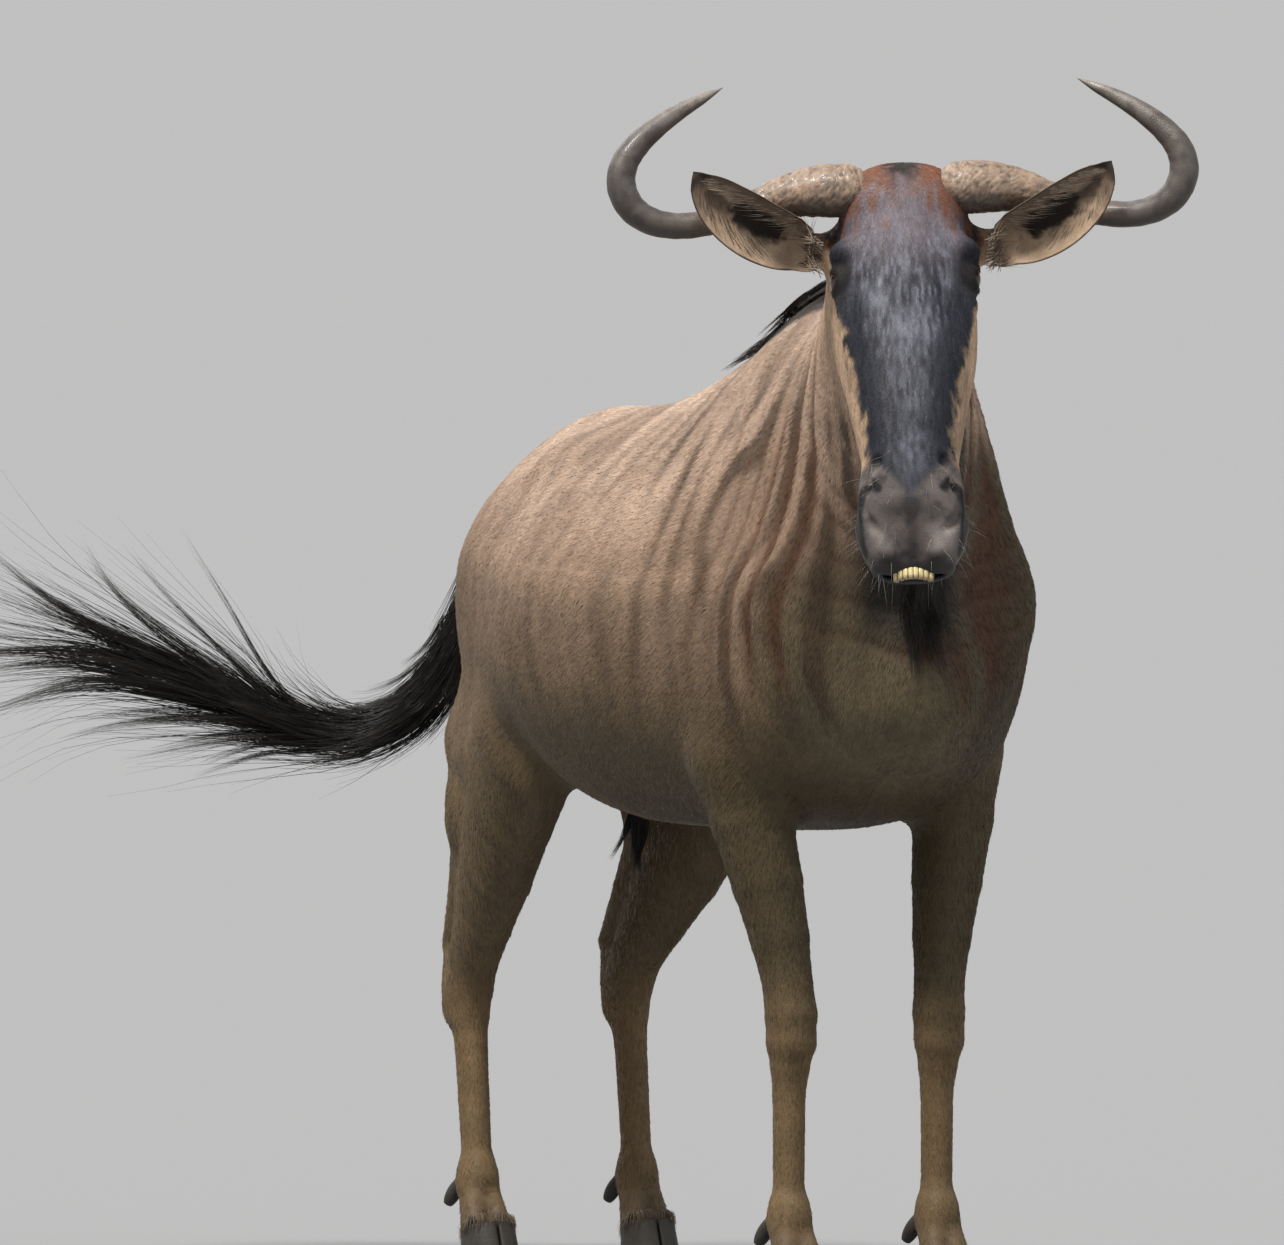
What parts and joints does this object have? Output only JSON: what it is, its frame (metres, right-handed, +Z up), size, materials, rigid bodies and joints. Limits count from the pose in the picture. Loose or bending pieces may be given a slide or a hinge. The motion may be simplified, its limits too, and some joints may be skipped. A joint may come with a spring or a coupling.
{
  "type": "wildebeest model",
  "caption": "Life-size standing model of a wildebeest, head turned and tail swung to one side, resting on its own hooves on a flat floor",
  "frame": {"origin": "middle of the bottom of the whole model's box, on the floor", "axes": "+Z up, -Y the way the body faces, +X the animal's left; the tail and the hindquarters are towards +Y"},
  "size_m": [0.9502, 2.1994, 1.5369],
  "materials": {
    "torso": "short hair",
    "neck": "short hair",
    "head": "short glossy hair",
    "horn_left": "rough, ringed horn, glossier towards the tip",
    "horn_right": "rough, ringed horn, glossier towards the tip",
    "eye_left": "wet, dark",
    "eye_right": "wet, dark",
    "ear_left": "short hair",
    "ear_right": "short hair",
    "leg_front_left": "short hair",
    "leg_front_right": "short hair",
    "leg_hind_left": "short hair",
    "leg_hind_right": "short hair",
    "hoof_front_left_inner": "worn horn",
    "dewclaw_front_left_inner": "worn horn",
    "hoof_front_left_outer": "worn horn",
    "dewclaw_front_left_outer": "worn horn",
    "hoof_front_right_inner": "worn horn",
    "dewclaw_front_right_inner": "worn horn",
    "hoof_front_right_outer": "worn horn",
    "dewclaw_front_right_outer": "worn horn",
    "hoof_hind_left_inner": "worn horn",
    "dewclaw_hind_left_inner": "worn horn",
    "hoof_hind_left_outer": "worn horn",
    "dewclaw_hind_left_outer": "worn horn",
    "hoof_hind_right_inner": "worn horn",
    "dewclaw_hind_right_inner": "worn horn",
    "hoof_hind_right_outer": "worn horn",
    "dewclaw_hind_right_outer": "worn horn",
    "lower_teeth": "enamel",
    "mane": "long hair",
    "throat_mane": "long hair",
    "beard": "long hair",
    "forelock": "hair",
    "sheath_tuft": "long hair",
    "tail_dock": "long hair",
    "tail_hair_upper": "long hair",
    "tail_hair_lower": "long hair"
  },
  "bodies": {
    "root": {"torso": "torso", "neck": "neck", "head": "head", "horn_left": "horn_left", "horn_right": "horn_right", "eye_left": "eye_left", "eye_right": "eye_right", "ear_left": "ear_left", "ear_right": "ear_right", "leg_front_left": "leg_front_left", "leg_front_right": "leg_front_right", "leg_hind_left": "leg_hind_left", "leg_hind_right": "leg_hind_right", "hoof_front_left_inner": "hoof_front_left_inner", "dewclaw_front_left_inner": "dewclaw_front_left_inner", "hoof_front_left_outer": "hoof_front_left_outer", "dewclaw_front_left_outer": "dewclaw_front_left_outer", "hoof_front_right_inner": "hoof_front_right_inner", "dewclaw_front_right_inner": "dewclaw_front_right_inner", "hoof_front_right_outer": "hoof_front_right_outer", "dewclaw_front_right_outer": "dewclaw_front_right_outer", "hoof_hind_left_inner": "hoof_hind_left_inner", "dewclaw_hind_left_inner": "dewclaw_hind_left_inner", "hoof_hind_left_outer": "hoof_hind_left_outer", "dewclaw_hind_left_outer": "dewclaw_hind_left_outer", "hoof_hind_right_inner": "hoof_hind_right_inner", "dewclaw_hind_right_inner": "dewclaw_hind_right_inner", "hoof_hind_right_outer": "hoof_hind_right_outer", "dewclaw_hind_right_outer": "dewclaw_hind_right_outer", "lower_teeth": "lower_teeth", "mane": "mane", "throat_mane": "throat_mane", "beard": "beard", "forelock": "forelock", "sheath_tuft": "sheath_tuft", "tail_dock": "tail_dock", "tail_hair_upper": "tail_hair_upper", "tail_hair_lower": "tail_hair_lower"}
  },
  "joints": []
}
